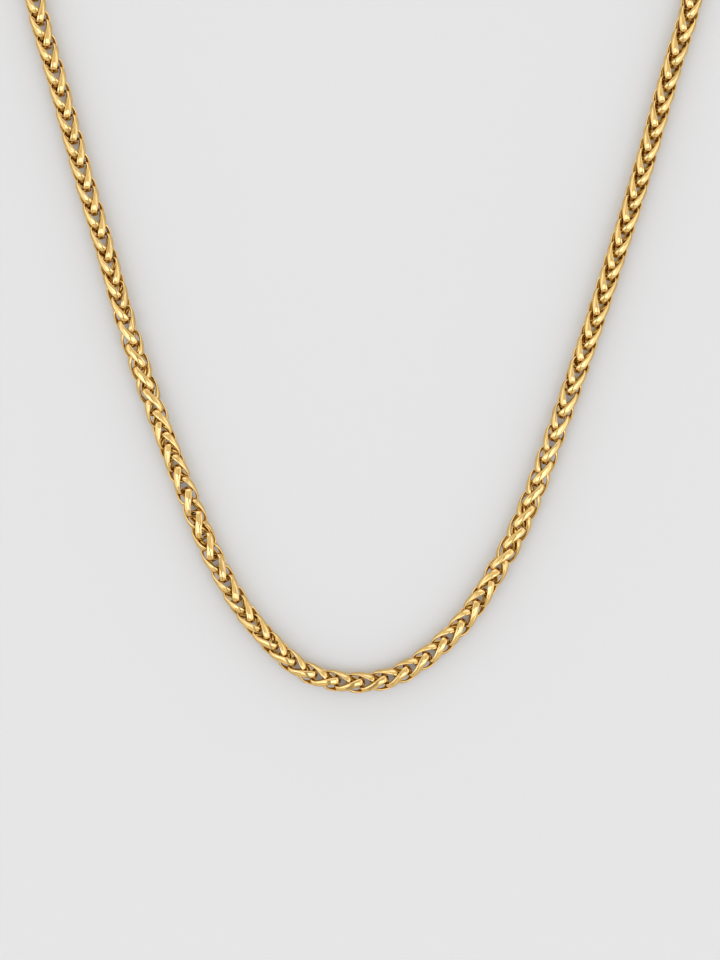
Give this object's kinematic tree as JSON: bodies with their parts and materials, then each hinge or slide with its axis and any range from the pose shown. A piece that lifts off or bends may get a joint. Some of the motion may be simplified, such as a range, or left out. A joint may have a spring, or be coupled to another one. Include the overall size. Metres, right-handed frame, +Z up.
{
  "type": "wheat chain necklace",
  "caption": "Polished yellow-gold wheat chain of interlocked twisted oval links, a closed neck chain lying flat in a U, with a plain clasp behind.",
  "frame": {"origin": "middle of the necklace's outline, at the surface that it lies on", "axes": "+Z up from that surface, +Y from the foot of the U to the clasp, +X to the right"},
  "size_m": [0.1376, 0.222, 0.0042],
  "materials": {
    "chain": "polished yellow gold",
    "fittings": "polished yellow gold"
  },
  "bodies": {
    "root": {"chain_left": "chain", "chain_right": "chain", "back_left": "chain", "back_right": "chain", "ring_left": "fittings", "ring_right": "fittings", "clasp": "fittings"}
  },
  "joints": []
}
